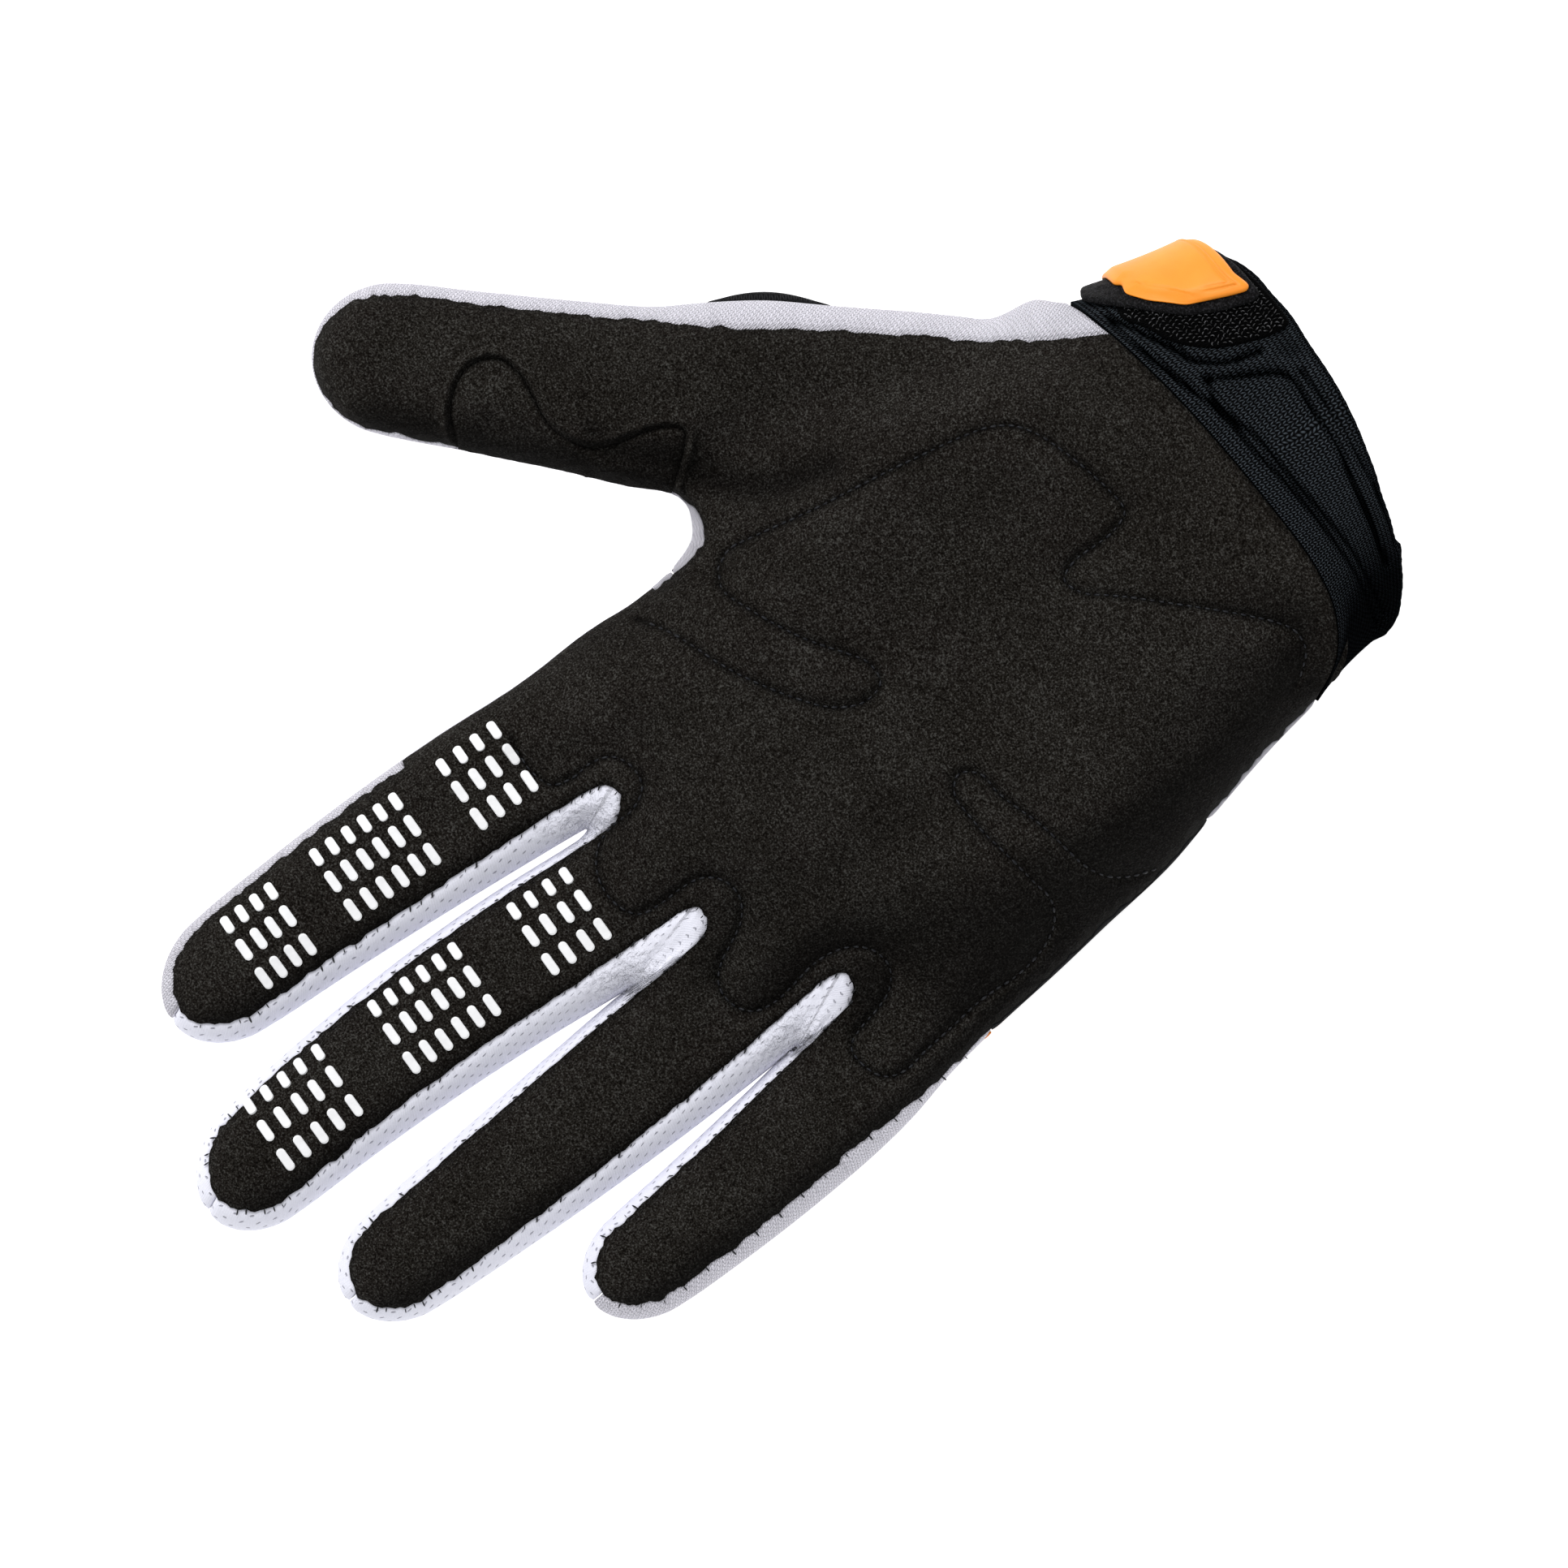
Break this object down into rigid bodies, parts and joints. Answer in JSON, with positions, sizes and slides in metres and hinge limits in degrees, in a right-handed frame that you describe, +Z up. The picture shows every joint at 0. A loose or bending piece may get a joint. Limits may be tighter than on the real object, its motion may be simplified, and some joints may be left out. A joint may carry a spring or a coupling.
{
  "type": "motocross glove",
  "caption": "Right-hand motocross glove lying palm up: black suede palm, white knit and mesh sides and back, short knit cuff with a hook-and-loop closure and orange pull tab.",
  "frame": {"origin": "centre of the bounding box on the surface that the glove lies on, under the back of the hand", "axes": "+Y to the fingertips, +X to the thumb, +Z up out of the palm"},
  "size_m": [0.1768, 0.2358, 0.0371],
  "materials": {
    "suede": "matt black microsuede",
    "white_knit": "white rib knit",
    "white_mesh": "white air mesh",
    "black_stretch": "black stretch fabric",
    "cuff_knit": "navy-black quilted knit",
    "loop_fabric": "black loop fabric",
    "strap_felt": "black felt",
    "orange_rubber": "satin moulded rubber"
  },
  "bodies": {
    "root": {"palm_panel": "suede", "thumb_patch": "suede", "thumb_gusset": "white_knit", "thumb_back": "white_knit", "fourchette_index_middle": "white_mesh", "fourchette_middle_ring": "white_mesh", "fourchette_ring_little": "white_mesh", "back_panel": "white_knit", "back_band": "black_stretch", "wrist_panel": "white_knit", "cuff": "cuff_knit", "loop_pad": "loop_fabric", "closure_strap": "strap_felt", "pull_tab": "orange_rubber"}
  },
  "joints": []
}
